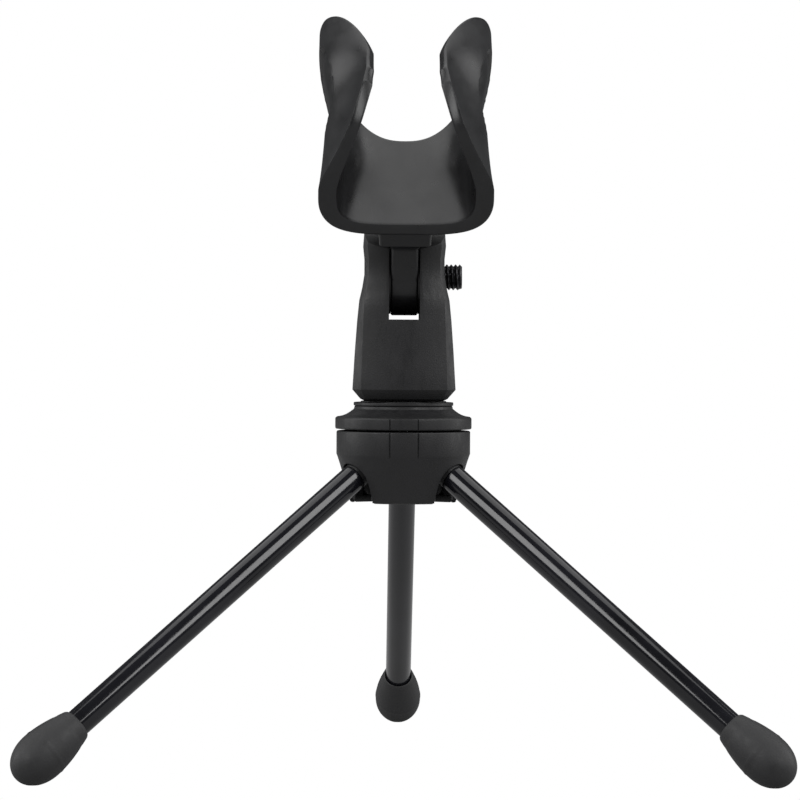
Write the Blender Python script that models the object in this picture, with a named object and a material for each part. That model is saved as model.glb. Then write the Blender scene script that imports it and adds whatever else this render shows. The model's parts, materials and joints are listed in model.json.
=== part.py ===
"""A folding tabletop microphone tripod. Three legs hinge in a round hub, and a threaded stud on
the hub carries a swivelling head with a tilting microphone clip."""

import math

import bmesh
import bpy
from mathutils import Matrix, Vector

MM = 0.001
FIT = 0.15 * MM  # radial clearance where one piece sits in another
FACET_TURN = math.radians(4)  # keeps the facets of a bore off those of the piece around it
LEG_AZIMUTHS = {"left": 210, "right": 330, "rear": 90}

# Legs. Distances along a leg are measured from its hinge.
LEG_SLOPE = math.radians(37.2)
HINGE_RADIUS = 9.5 * MM
TUBE_RADIUS = 3.1 * MM
TUBE_WALL = 0.55 * MM
TUBE_START = 4.2 * MM
LEG_LENGTH = 110.1 * MM
FOOT_LENGTH = 18.3 * MM
FOOT_RADIUS = 5.6 * MM
FOOT_RIM_RADIUS = 3.65 * MM
FOOT_BELLY = 10.6 * MM
FOOT_BORE_DEPTH = 11 * MM
FOOT_SQUASH = 0.15 * MM  # the flat that the rubber makes on the table
KNUCKLE_RADIUS = 3.4 * MM
KNUCKLE_WIDTH = 6.2 * MM
PIN_RADIUS = 1.2 * MM
PIN_LENGTH = 9.8 * MM

# Hub. Heights are measured from the level of the leg hinges.
HUB_RADIUS = 15.3 * MM
HUB_BOTTOM_RADIUS = 12.1 * MM
HUB_BOTTOM = -8.5 * MM
HUB_TAPER_TOP = 2.6 * MM
HUB_TOP = 7.9 * MM
HUB_CORE = 3.0 * MM
PLATE_RADIUS = 10.9 * MM
PLATE_THICKNESS = 1.5 * MM
PLATE_SLOT = 7.4 * MM
TUNNEL_WIDTH = 7.0 * MM
TUNNEL_TOP = 4.0 * MM
TUNNEL_START = 5.2 * MM
TUNNEL_END = 13.4 * MM
ARCH_WIDTH = 10.4 * MM
SCREW_CIRCLE = 8.6 * MM
SCREW_RADIUS = 1.1 * MM
SCREW_HEAD = 2.0 * MM
SCREW_TOP = 11.0 * MM
CAP_BOTTOM = 8.3 * MM
CAP_SPIGOT = 12.8 * MM
CAP_RADIUS = 15.6 * MM
CAP_RIM_TOP = 10.8 * MM
CAP_TOP = 13.6 * MM
CAP_TOP_RADIUS = 11.2 * MM
PANEL_WIDTH = 6.4 * MM
WASHER_RADIUS = 11.4 * MM
WASHER_BOTTOM = 13.8 * MM
WASHER_TOP = 14.4 * MM
STUD_RADIUS = 4.76 * MM
STUD_TOP = 27 * MM
STUD_FLANGE = 11 * MM  # across the flats
STUD_FLANGE_TOP = 11.9 * MM

# Head
HEAD_BOTTOM = 14.7 * MM
HEAD_TOP = 53.5 * MM
BUSH_RADIUS = 7.3 * MM
BUSH_TOP = 28.5 * MM
TILT_HEIGHT = 43 * MM
SLOT_WIDTH = 7.0 * MM
SLOT_FLOOR = 33.3 * MM
BOSS_RADIUS = 8.4 * MM
BOSS_HEIGHT = 0.3 * MM
CHEEK_ARC = 11.6 * MM
BOLT_RADIUS = 3.0 * MM
BOLT_HEAD_RADIUS = 4.9 * MM
BOLT_HEAD_HEIGHT = 2.7 * MM
BOLT_SEAT = 6.2 * MM
BOLT_END = 13.2 * MM
BOLT_KEY = 4 * MM
NUT_FLATS = 10 * MM
NUT_HEIGHT = 2.6 * MM

# Clip. It is drawn level: Y runs to the rear along the microphone, Z up from the tilt axis.
CLIP_PITCH = math.radians(38)
TONGUE_WIDTH = 6.1 * MM
TONGUE_RADIUS = 8.75 * MM
TONGUE_NECK = 7.5 * MM
NECK_SPREAD = 2.8 * MM
CLIP_FLOOR = 25.4 * MM
CLIP_CENTRES = {"front": 34.5 * MM, "rear": 44 * MM}
CLIP_TOP = 54.5 * MM
CLIP_FRONT = -13.8 * MM
CLIP_REAR = 17.6 * MM
CLIP_EAR_REAR = 33.5 * MM
CLIP_LENGTH = 30 * MM
CLIP_WAIST = 4 * MM
CLIP_FLARE = 16 * MM
CLIP_HALF_WIDTHS = {"front": 15.3 * MM, "waist": 14.9 * MM, "rear": 17.2 * MM}
CLIP_WALL = 2.4 * MM
CLIP_CORNER_WALL = 4.2 * MM
EAR_ROUND = 19 * MM
THROAT = 7.3 * MM
THROAT_FRONT = 8.4 * MM
THROAT_REAR = 10.5 * MM
THROAT_PLACE = 10 * MM
THROAT_ROUND = 7 * MM
RIM_ROUND = 0.55 * MM
CLIP_ROWS = 22  # from the floor's middle to the edge of one arm
CLIP_COLUMNS = 13  # from the front rim to the rear rim


def clear_scene():
    for obj in list(bpy.data.objects):
        bpy.data.objects.remove(obj, do_unlink=True)


def material(name, colour, roughness, metallic=0.0):
    made = bpy.data.materials.new(name)
    made.use_nodes = True
    shader = made.node_tree.nodes["Principled BSDF"]
    shader.inputs["Base Color"].default_value = (*colour, 1)
    shader.inputs["Roughness"].default_value = roughness
    shader.inputs["Metallic"].default_value = metallic
    return made


def empty(name, location=(0, 0, 0), rotation=(0, 0, 0), parent=None):
    made = bpy.data.objects.new(name, None)
    bpy.context.collection.objects.link(made)
    made.location, made.rotation_euler, made.parent = location, rotation, parent
    return made


def place(name, mesh, look, parent, location=(0, 0, 0), rotation=(0, 0, 0)):
    """An object with the mesh, which other objects may share."""
    if look and not mesh.materials:
        mesh.materials.append(look)
    made = bpy.data.objects.new(name, mesh)
    bpy.context.collection.objects.link(made)
    made.location, made.rotation_euler, made.parent = location, rotation, parent
    return made


def finished(name, work, smooth=True):
    """The bmesh as a mesh with its faces turned outwards."""
    bmesh.ops.remove_doubles(work, verts=work.verts, dist=1e-7)
    bmesh.ops.recalc_face_normals(work, faces=work.faces)
    mesh = bpy.data.meshes.new(name)
    work.to_mesh(mesh)
    work.free()
    if smooth:
        mesh.shade_smooth()
        mesh.set_sharp_from_angle(angle=math.radians(32))
    return mesh


def turned(name, profile, segments, axis="Z"):
    """A closed outline of (radius, height) points turned about the axis."""
    work = bmesh.new()
    rings = []
    for radius, height in profile:
        if radius == 0:
            rings.append([work.verts.new((0, 0, height))])
            continue
        angles = [2 * math.pi * i / segments for i in range(segments)]
        points = [(radius * math.cos(a), radius * math.sin(a), height) for a in angles]
        rings.append([work.verts.new(point) for point in points])
    for first, second in zip(rings, rings[1:] + rings[:1]):
        if len(first) == 1 and len(second) == 1:
            continue
        for i in range(segments):
            j = (i + 1) % segments
            corners = [first[i % len(first)], first[j % len(first)]]
            corners += [second[j % len(second)], second[i % len(second)]]
            work.faces.new(list(dict.fromkeys(corners)))
    if axis == "X":
        bmesh.ops.rotate(work, verts=work.verts, matrix=Matrix.Rotation(math.pi / 2, 3, "Y"))
    if axis == "Y":
        bmesh.ops.rotate(work, verts=work.verts, matrix=Matrix.Rotation(math.pi / 2, 3, "X"))
    return finished(name, work)


def rod(name, radius, start, end, segments, axis="Z"):
    return turned(name, [(0, start), (radius, start), (radius, end), (0, end)], segments, axis)


def stacked(name, rings):
    """Rings with the same number of points, joined in order and closed by a flat end each."""
    work = bmesh.new()
    made = [[work.verts.new(point) for point in ring] for ring in rings]
    for first, second in zip(made, made[1:]):
        for i in range(len(first)):
            j = (i + 1) % len(first)
            work.faces.new((first[i], first[j], second[j], second[i]))
    work.faces.new(list(reversed(made[0])))
    work.faces.new(made[-1])
    return finished(name, work)


def block(name, low, high):
    def ring(z):
        return [(low[0], low[1], z), (high[0], low[1], z), (high[0], high[1], z), (low[0], high[1], z)]

    return stacked(name, [ring(low[2]), ring(high[2])])


def hexagon(name, flats, start, end, axis="Z"):
    corner = flats / math.sqrt(3)
    return rod(name, corner, start, end, 6, axis)


def combine(target, operation, mesh, parent, location=(0, 0, 0), rotation=(0, 0, 0)):
    """Cuts the mesh from the target, or joins it on, with a Boolean modifier and a hidden helper."""
    helper = place(f"helper_{mesh.name}", mesh, None, parent, location, rotation)
    helper.hide_render = True
    helper.display_type = "WIRE"
    modifier = target.modifiers.new(mesh.name, "BOOLEAN")
    modifier.operation, modifier.object = operation, helper
    return helper


def foot_radius(along):
    """The foot's outer radius at a distance from its rim: a swelling, then an elliptical nose."""
    if along < FOOT_BELLY:
        share = math.sin(math.pi / 2 * along / FOOT_BELLY)
        return FOOT_RIM_RADIUS + (FOOT_RADIUS - FOOT_RIM_RADIUS) * share
    share = (along - FOOT_BELLY) / (FOOT_LENGTH - FOOT_BELLY)
    return FOOT_RADIUS * math.sqrt(max(0, 1 - share**2.1))


def foot_stations(count=14):
    """Distances from the rim that bunch up towards the nose."""
    return [FOOT_LENGTH * math.sin(math.pi / 2 * i / count) for i in range(count + 1)]


def hinge_height():
    """How high the hinges are when the feet stand on the table."""
    drops = []
    for along in foot_stations(200):
        centre = (LEG_LENGTH - FOOT_LENGTH + along) * math.sin(LEG_SLOPE)
        drops.append(centre + foot_radius(along) * math.cos(LEG_SLOPE))
    return max(drops) - FOOT_SQUASH


def foot_mesh(height):
    start = LEG_LENGTH - FOOT_LENGTH
    bore = TUBE_RADIUS + FIT
    profile = [(0, start + FOOT_BORE_DEPTH), (bore, start + FOOT_BORE_DEPTH), (bore, start)]
    lip = 0.3 * MM
    profile.append((FOOT_RIM_RADIUS - lip, start))
    profile += [(foot_radius(along), start + max(along, lip)) for along in foot_stations()[:-1]]
    profile.append((0, LEG_LENGTH))
    mesh = turned("foot", profile, 28, "X")
    work = bmesh.new()
    work.from_mesh(mesh)
    down = Vector((math.sin(LEG_SLOPE), 0, -math.cos(LEG_SLOPE)))
    shape = list(work.verts) + list(work.edges) + list(work.faces)
    cut = bmesh.ops.bisect_plane(
        work, geom=shape, dist=1e-8, plane_co=down * height, plane_no=down, clear_outer=True
    )
    rim = [part for part in cut["geom_cut"] if isinstance(part, bmesh.types.BMEdge)]
    bmesh.ops.contextual_create(work, geom=rim)
    return finished("foot", work)


def leg(name, azimuth, stand, height, meshes, looks):
    """One leg on its own hinge empty, whose X runs down the leg and whose Y is the hinge."""
    turn = math.radians(azimuth)
    at = (HINGE_RADIUS * math.cos(turn), HINGE_RADIUS * math.sin(turn), height)
    hinge = empty(f"hinge_{name}", at, (0, LEG_SLOPE, turn), stand)
    place(f"leg_tube_{name}", meshes["tube"], looks["tube"], hinge)
    place(f"foot_{name}", meshes["foot"], looks["rubber"], hinge)
    place(f"leg_pin_{name}", meshes["pin"], looks["steel"], hinge)
    knuckle = place(f"leg_knuckle_{name}", meshes["knuckle"], looks["plastic"], hinge)
    for operation, mesh in (("UNION", "shoulder"), ("UNION", "spigot"), ("DIFFERENCE", "eye")):
        combine(knuckle, operation, meshes[mesh], hinge)


def leg_meshes(height):
    outer, inner = TUBE_RADIUS, TUBE_RADIUS - TUBE_WALL
    end = LEG_LENGTH - FOOT_LENGTH + FOOT_BORE_DEPTH - 2 * FIT
    tube = [(inner, TUBE_START), (inner, end), (outer, end), (outer, TUBE_START)]
    half = KNUCKLE_WIDTH / 2
    shoulder_end = TUBE_START - FIT
    spigot = inner - FIT
    spigot_end = TUBE_START + 10 * MM
    return {
        "tube": turned("leg_tube", tube, 28, "X"),
        "foot": foot_mesh(height),
        "pin": rod("leg_pin", PIN_RADIUS, -PIN_LENGTH / 2, PIN_LENGTH / 2, 16, "Y"),
        "knuckle": rod("leg_knuckle", KNUCKLE_RADIUS, -half, half, 28, "Y"),
        "shoulder": rod("shoulder", half - 0.05 * MM, 0, shoulder_end, 28, "X"),
        "spigot": rod("spigot", spigot, 0, spigot_end, 20, "X"),
        "eye": rod("eye", PIN_RADIUS + FIT, -half - MM, half + MM, 20, "Y"),
    }


def arch_outline(half, crown, foot, segments=14):
    """An arch seen along X: a half round of the given half width below its crown, open downwards."""
    centre = crown - half
    arc = [math.pi * i / segments for i in range(segments + 1)]
    points = [(half * math.cos(a), centre + half * math.sin(a)) for a in arc]
    return [(half, foot)] + points + [(-half, foot)]


def tunnel_mesh():
    """The channel inside the hub where a leg's knuckle turns, in the frame of that leg's azimuth."""
    half = TUNNEL_WIDTH / 2
    low = (TUNNEL_START, -half, -30 * MM)
    return block("tunnel", low, (TUNNEL_END, half, TUNNEL_TOP))


def arch_mesh():
    """The opening in the hub's wall, drawn along the open leg so that the tube rests under it."""
    outline = arch_outline(ARCH_WIDTH / 2, TUBE_RADIUS + 0.4 * MM, -26 * MM)
    near, far = 2.3 * MM, 20 * MM
    return stacked("arch", [[(x, y, z) for y, z in outline] for x in (near, far)])


def groove_mesh():
    """The two grooves that take a pin's ends, open towards the base plate."""
    half = PIN_RADIUS + FIT
    reach = PIN_LENGTH / 2 + FIT
    low = (HINGE_RADIUS - half, -reach, HUB_BOTTOM + PLATE_THICKNESS)
    return block("groove", low, (HINGE_RADIUS + half, reach, half))


def hub_profile():
    steps = 6
    wall = []
    for i in range(steps + 1):
        share = i / steps
        radius = HUB_RADIUS + (HUB_BOTTOM_RADIUS - HUB_RADIUS) * share**0.9
        wall.append((radius, HUB_TAPER_TOP + (HUB_BOTTOM + 0.2 * MM - HUB_TAPER_TOP) * share))
    floor = HUB_BOTTOM + PLATE_THICKNESS + 2 * FIT
    recess = PLATE_RADIUS + 2 * FIT
    edge = 0.4 * MM
    profile = [(HUB_CORE, floor), (HUB_CORE, HUB_TOP), (HUB_RADIUS - edge, HUB_TOP)]
    profile += [(HUB_RADIUS, HUB_TOP - edge)] + wall
    profile += [(HUB_BOTTOM_RADIUS - edge, HUB_BOTTOM), (recess, HUB_BOTTOM), (recess, floor)]
    return profile


def screw_angles():
    return [math.radians(azimuth + 60) for azimuth in LEG_AZIMUTHS.values()]


def screw_spots():
    return [(SCREW_CIRCLE * math.cos(a), SCREW_CIRCLE * math.sin(a), 0) for a in screw_angles()]


def hub_body(hub, look):
    body = place("hub_body", turned("hub_body", hub_profile(), 72), look, hub)
    tunnel, arch, groove = tunnel_mesh(), arch_mesh(), groove_mesh()
    bore = rod("screw_bore", SCREW_RADIUS + FIT, HUB_BOTTOM - MM, HUB_TOP + MM, 16)
    for azimuth in LEG_AZIMUTHS.values():
        turn = math.radians(azimuth)
        hinge_at = (HINGE_RADIUS * math.cos(turn), HINGE_RADIUS * math.sin(turn), 0)
        combine(body, "DIFFERENCE", tunnel, hub, rotation=(0, 0, turn))
        combine(body, "DIFFERENCE", arch, hub, hinge_at, (0, LEG_SLOPE, turn))
        combine(body, "DIFFERENCE", groove, hub, rotation=(0, 0, turn))
    for spot in screw_spots():
        combine(body, "DIFFERENCE", bore, hub, spot, (0, 0, FACET_TURN))
    panel_seams(body, hub, HUB_RADIUS, HUB_TAPER_TOP - 1.5 * MM, HUB_TOP + MM)


def panel_seams(body, hub, radius, low, high):
    """The two fine upright grooves that frame the narrow front panel."""
    width, depth = 0.35 * MM, 0.35 * MM
    for side in (-1, 1):
        x = side * PANEL_WIDTH / 2
        front = -math.sqrt(radius**2 - x**2)
        near = (x - width / 2, front - MM, low)
        mesh = block("panel_seam", near, (x + width / 2, front + depth, high))
        combine(body, "DIFFERENCE", mesh, hub)


def base_plate(hub, look):
    """The three-lobed plate with posts that hold the leg pins up in their grooves."""
    bottom = HUB_BOTTOM + 0.1 * MM
    top = bottom + PLATE_THICKNESS
    disc = rod("base_plate", PLATE_RADIUS, bottom, top, 60)
    plate = place("base_plate", disc, look, hub)
    half = PLATE_SLOT / 2
    slot = block("plate_slot", (4.8 * MM, -half, bottom - MM), (20 * MM, half, top + MM))
    post_end = PIN_LENGTH / 2
    post_half = PIN_RADIUS - 0.1 * MM
    near = (HINGE_RADIUS - post_half, half + 0.1 * MM, bottom + 0.5 * MM)
    far = (HINGE_RADIUS + post_half, post_end, -PIN_RADIUS - 2 * FIT)
    posts = [block("post", near, far)]
    posts.append(block("post", (near[0], -far[1], near[2]), (far[0], -near[1], far[2])))
    head = SCREW_HEAD + FIT
    shaft = SCREW_RADIUS + FIT
    sink = [(0, bottom - MM), (head, bottom - MM), (head, bottom + FIT)]
    sink += [(shaft, bottom + head - shaft + FIT), (shaft, top + MM), (0, top + MM)]
    countersink = turned("countersink", sink, 20)
    for azimuth in LEG_AZIMUTHS.values():
        turn = math.radians(azimuth)
        combine(plate, "DIFFERENCE", slot, hub, rotation=(0, 0, turn))
        for post in posts:
            combine(plate, "UNION", post, hub, rotation=(0, 0, turn))
    for spot in screw_spots():
        combine(plate, "DIFFERENCE", countersink, hub, spot)


def base_screws(hub, look):
    bottom = HUB_BOTTOM + 0.2 * MM
    neck = bottom + SCREW_HEAD - SCREW_RADIUS
    profile = [(0, bottom), (SCREW_HEAD, bottom), (SCREW_RADIUS, neck)]
    profile += [(SCREW_RADIUS, SCREW_TOP - MM), (0, SCREW_TOP)]
    screw = turned("base_screw", profile, 20)
    arm, width, depth = 1.2 * MM, 0.5 * MM, 0.6 * MM
    for number, spot in enumerate(screw_spots(), 1):
        made = place(f"base_screw_{number}", screw, look, hub, spot)
        for long, short in ((arm, width / 2), (width / 2, arm)):
            low = (-long, -short, bottom - MM)
            cross = block("cross", low, (long, short, bottom + depth))
            combine(made, "DIFFERENCE", cross, hub, spot)


def hub_cap(hub, look):
    hole = STUD_RADIUS + FIT
    edge = 0.3 * MM
    steps = 6
    slope = []
    for i in range(steps + 1):
        share = i / steps
        radius = CAP_RADIUS - 0.5 * MM + (CAP_TOP_RADIUS - CAP_RADIUS + 0.5 * MM) * share
        sag = 0.35 * MM * math.sin(math.pi * share)
        slope.append((radius, CAP_RIM_TOP + edge + (CAP_TOP - CAP_RIM_TOP - edge) * share - sag))
    profile = [(hole, CAP_BOTTOM - 0.25 * MM), (CAP_SPIGOT, CAP_BOTTOM - 0.25 * MM)]
    profile += [(CAP_SPIGOT, CAP_BOTTOM), (CAP_RADIUS - edge, CAP_BOTTOM)]
    profile += [(CAP_RADIUS, CAP_BOTTOM + edge), (CAP_RADIUS, CAP_RIM_TOP)]
    profile += slope + [(hole, CAP_TOP)]
    cap = place("hub_cap", turned("hub_cap", profile, 72), look, hub)
    pocket_top = STUD_FLANGE_TOP + 2 * FIT
    pocket = hexagon("flange_pocket", STUD_FLANGE + 2 * FIT, HUB_TOP - MM, pocket_top)
    combine(cap, "DIFFERENCE", pocket, hub)
    bore = rod("cap_bore", SCREW_RADIUS + FIT, HUB_TOP - MM, SCREW_TOP + 2 * FIT, 16)
    for spot in screw_spots():
        combine(cap, "DIFFERENCE", bore, hub, spot)
    panel_seams(cap, hub, CAP_RADIUS, CAP_BOTTOM - MM, CAP_RIM_TOP)


def stud_and_washer(hub, looks):
    chamfer = 0.8 * MM
    profile = [(0, CAP_BOTTOM), (STUD_RADIUS, CAP_BOTTOM), (STUD_RADIUS, STUD_TOP - chamfer)]
    profile += [(STUD_RADIUS - chamfer, STUD_TOP), (0, STUD_TOP)]
    stud = place("mount_stud", turned("mount_stud", profile, 32), looks["steel"], hub)
    flange = hexagon("stud_flange", STUD_FLANGE, HUB_TOP + 0.2 * MM, STUD_FLANGE_TOP)
    combine(stud, "UNION", flange, hub)
    hole = STUD_RADIUS + 2 * FIT
    ring = [(hole, WASHER_BOTTOM), (WASHER_RADIUS, WASHER_BOTTOM)]
    ring += [(WASHER_RADIUS, WASHER_TOP), (hole, WASHER_TOP)]
    place("seat_washer", turned("seat_washer", ring, 60), looks["plastic"], hub)


def head_width(height):
    """Half the head's width from side to side: wide at the thread, drawn in round the tilt bolt."""
    stations = [(14.7, 8.7), (15.3, 9.9), (17.4, 11.7), (26, 11.2), (33, 10.7), (37.6, 10.25)]
    stations += [(40.4, 9.6), (43.5, 9.1), (47, 9.1), (50, 9.4), (53.5, 9.15)]
    above = height / MM
    for (low, first), (high, second) in zip(stations, stations[1:]):
        if above <= high:
            return (first + (second - first) * (above - low) / (high - low)) * MM
    return stations[-1][1] * MM


def head_ring(height):
    """A square with flat faces and slanted corners."""
    across = head_width(height)
    lift = (height - HEAD_BOTTOM) / (HEAD_TOP - HEAD_BOTTOM)
    deep = min(across, 11.4 * MM - 2 * MM * lift)
    flat = min(across - 1.0 * MM, (9.9 - 1.3 * lift) * MM)
    if height < HEAD_BOTTOM + 0.1 * MM:
        flat = min(flat, 0.62 * across)
    side = deep - 2.6 * MM
    corners = [(flat, -deep), (across, -side), (across, side), (flat, deep)]
    return [(x, y, height) for x, y in corners] + [(-x, -y, height) for x, y in corners]


def swivel_body(hub, look):
    heights = [14.7, 15.3, 17.4, 21, 26, 30, 33, 35.3, 37.6, 39, 40.4, 42, 43.5, 45.2, 47, 50, 53.5]
    body = place("swivel_body", stacked("swivel_body", [head_ring(h * MM) for h in heights]), look, hub)
    half = SLOT_WIDTH / 2
    far = 30 * MM
    slot = block("head_slot", (-half, -far, SLOT_FLOOR), (half, far, HEAD_TOP + MM))
    combine(body, "DIFFERENCE", slot, hub)
    combine(body, "DIFFERENCE", cheek_top_mesh(), hub, (0, 0, TILT_HEIGHT))
    for side in (-1, 1):
        ends = sorted((side * (half - BOSS_HEIGHT), side * (half + MM)))
        boss = rod("cheek_boss", BOSS_RADIUS, *ends, 36, "X")
        combine(body, "UNION", boss, hub, (0, 0, TILT_HEIGHT))
    bush = rod("bush_bore", BUSH_RADIUS + FIT, HEAD_BOTTOM - MM, BUSH_TOP + 2 * FIT, 40)
    combine(body, "DIFFERENCE", bush, hub)
    at = (0, 0, TILT_HEIGHT)
    bolt = rod("bolt_bore", BOLT_RADIUS + FIT, -far, far, 24, "X")
    combine(body, "DIFFERENCE", bolt, hub, at, (FACET_TURN, 0, 0))
    head = rod("bolt_sink", BOLT_HEAD_RADIUS + 2 * FIT, -far, -BOLT_SEAT, 32, "X")
    combine(body, "DIFFERENCE", head, hub, at)
    nut = hexagon("nut_pocket", NUT_FLATS + 4 * FIT, BOLT_SEAT, far, "X")
    combine(body, "DIFFERENCE", nut, hub, at)


def cheek_top_mesh():
    """What is cut away above the cheeks to leave them round about the tilt axis."""
    steps = 16
    arc = [math.pi * i / steps for i in range(steps + 1)]
    outline = [(CHEEK_ARC * math.cos(a), CHEEK_ARC * math.sin(a)) for a in arc]
    wide, tall = 20 * MM, 20 * MM
    outline += [(-wide, 0), (-wide, tall), (wide, tall), (wide, 0)]
    return stacked("cheek_top", [[(x, y, z) for y, z in outline] for x in (-wide, wide)])


def bolt_bush_and_nut(hub, looks):
    at = (0, 0, TILT_HEIGHT)
    head_out = BOLT_SEAT + BOLT_HEAD_HEIGHT
    edge = 0.5 * MM
    profile = [(0, -head_out), (BOLT_HEAD_RADIUS - edge, -head_out)]
    profile += [(BOLT_HEAD_RADIUS, -head_out + edge), (BOLT_HEAD_RADIUS, -BOLT_SEAT - FIT)]
    profile += [(BOLT_RADIUS, -BOLT_SEAT - FIT), (BOLT_RADIUS, BOLT_END - edge)]
    profile += [(BOLT_RADIUS - edge, BOLT_END), (0, BOLT_END)]
    bolt = place("pivot_bolt", turned("pivot_bolt", profile, 32, "X"), looks["black_steel"], hub, at)
    key = hexagon("bolt_key", BOLT_KEY, -head_out - MM, -head_out + 1.5 * MM, "X")
    combine(bolt, "DIFFERENCE", key, hub, at)
    low = BOLT_SEAT + FIT
    hexagonal = hexagon("pivot_nut", NUT_FLATS, low, low + NUT_HEIGHT, "X")
    nut = place("pivot_nut", hexagonal, looks["black_steel"], hub, at)
    combine(nut, "DIFFERENCE", rod("nut_bore", BOLT_RADIUS + FIT, 0, 20 * MM, 24, "X"), hub, at)
    hole = STUD_RADIUS + FIT
    low = HEAD_BOTTOM + FIT
    ring = [(hole, low), (BUSH_RADIUS, low), (BUSH_RADIUS, BUSH_TOP), (hole, BUSH_TOP)]
    place("thread_bushing", turned("thread_bushing", ring, 40), looks["brass"], hub)


def eased(share):
    share = min(1, max(0, share))
    return share * share * (3 - 2 * share)


def clip_half_width(along):
    """The inner half width: narrow at the waist, wider at the front rim and flared behind."""
    waist = CLIP_HALF_WIDTHS["waist"]
    if along < CLIP_WAIST:
        share = (CLIP_WAIST - along) / (CLIP_WAIST - CLIP_FRONT)
        return waist + (CLIP_HALF_WIDTHS["front"] - waist) * share**1.5
    return waist + (CLIP_HALF_WIDTHS["rear"] - waist) * eased((along - CLIP_WAIST) / CLIP_FLARE)


def throat_half_width(along):
    """Half the gap between the arms' free edges, narrowest a little behind the middle."""
    if along < THROAT_PLACE:
        share = (THROAT_PLACE - along) / (THROAT_PLACE - CLIP_FRONT)
        return THROAT + (THROAT_FRONT - THROAT) * share**2
    share = (along - THROAT_PLACE) / (CLIP_EAR_REAR - THROAT_PLACE)
    return THROAT + (THROAT_REAR - THROAT) * min(1, share) ** 3


def clip_inner(up, along):
    """A point of the clip's inner wall. up runs from 0 at the floor's middle to 1 at an arm's free
    edge, or to -1 at the other arm's, and along from 0 at the front rim to 1 at the rear rim."""
    share = min(abs(up), 1)
    sweep = 1 - math.exp(-((share / 0.31) ** 2))
    rear = CLIP_REAR + (CLIP_EAR_REAR - CLIP_REAR) * sweep - EAR_ROUND * share**6.5
    front = CLIP_FRONT + THROAT_ROUND * share**7
    y = front + (rear - front) * along
    half, throat = clip_half_width(y), throat_half_width(y)
    back = eased((y - CLIP_FRONT) / CLIP_LENGTH)
    centre = CLIP_CENTRES["front"] + (CLIP_CENTRES["rear"] - CLIP_CENTRES["front"]) * back
    if share < 0.5:
        angle = math.pi * share
        square = 0.5 + 0.3 * back
        x = half * math.sin(angle) ** square
        z = centre - (centre - CLIP_FLOOR) * math.cos(angle) ** square
    else:
        lean = 2 * share - 1
        x = half - (half - throat) * lean ** (1.25 + 0.65 * back)
        z = centre + (CLIP_TOP - centre) * lean
    return Vector((math.copysign(x, up), y, z))


def clip_wall(up, along):
    """The wall: thickest round the front rim's sides, thinnest at the ears."""
    share = abs(up)
    side = math.exp(-(((share - 0.45) / 0.25) ** 2)) * (1 - along) ** 2
    floor = 0.4 * MM * math.exp(-((share / 0.2) ** 2))
    ear = 0.5 * MM * along * max(0, share - 0.7) / 0.3
    return CLIP_WALL + (CLIP_CORNER_WALL - CLIP_WALL) * side + floor - ear


def clip_frame(up, along):
    """The inner point, the direction out through the wall, and those towards the rear and the arm's edge."""
    step = 0.004
    climb = clip_inner(min(up + step, 1), along) - clip_inner(max(up - step, -1), along)
    run = clip_inner(up, min(along + step, 1)) - clip_inner(up, max(along - step, 0))
    climb.normalize()
    run.normalize()
    return clip_inner(up, along), climb.cross(run).normalized() * -1, run, climb


def clip_ring(up, spread=(0, 1), lift=0.0):
    """One closed ring round the wall, from the front rim along the inside and back along the outside."""
    inner, outer = [], []
    for i in range(CLIP_COLUMNS):
        along = i / (CLIP_COLUMNS - 1)
        point, out, run, climb = clip_frame(up, along)
        wall = clip_wall(up, along)
        shift = climb * math.copysign(lift, up) if lift else Vector()
        inner.append(point + out * wall * spread[0] + shift)
        outer.append(point + out * wall * spread[1] + shift)
    ends = []
    for along, sense in ((1, 1), (0, -1)):
        point, out, run, climb = clip_frame(up, along)
        wall = clip_wall(up, along)
        shift = climb * math.copysign(lift, up) if lift else Vector()
        width = spread[1] - spread[0]
        for share in (0.14, 0.86):
            depth = wall * (spread[0] + width * share)
            ends.append(point + out * depth + run * sense * RIM_ROUND + shift)
    return inner + ends[:2] + list(reversed(outer)) + list(reversed(ends[2:]))


def clip_shell():
    ups = [i / CLIP_ROWS for i in range(-CLIP_ROWS, CLIP_ROWS + 1)]
    rings = [clip_ring(up) for up in ups]
    rings = [clip_ring(-1, (0.16, 0.84), RIM_ROUND)] + rings + [clip_ring(1, (0.16, 0.84), RIM_ROUND)]
    work = bmesh.new()
    made = [[work.verts.new(point) for point in ring] for ring in rings]
    count = len(made[0])
    for first, second in zip(made, made[1:]):
        for i in range(count):
            j = (i + 1) % count
            work.faces.new((first[i], first[j], second[j], second[i]))
    for ring in (made[0], made[-1]):
        inner = ring[:CLIP_COLUMNS]
        outer = list(reversed(ring[CLIP_COLUMNS + 2 : 2 * CLIP_COLUMNS + 2]))
        for i in range(CLIP_COLUMNS - 1):
            work.faces.new((inner[i], inner[i + 1], outer[i + 1], outer[i]))
        work.faces.new((inner[-1], ring[CLIP_COLUMNS], ring[CLIP_COLUMNS + 1], outer[-1]))
        work.faces.new((outer[0], ring[-2], ring[-1], inner[0]))
    return finished("mic_clip", work)


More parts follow.
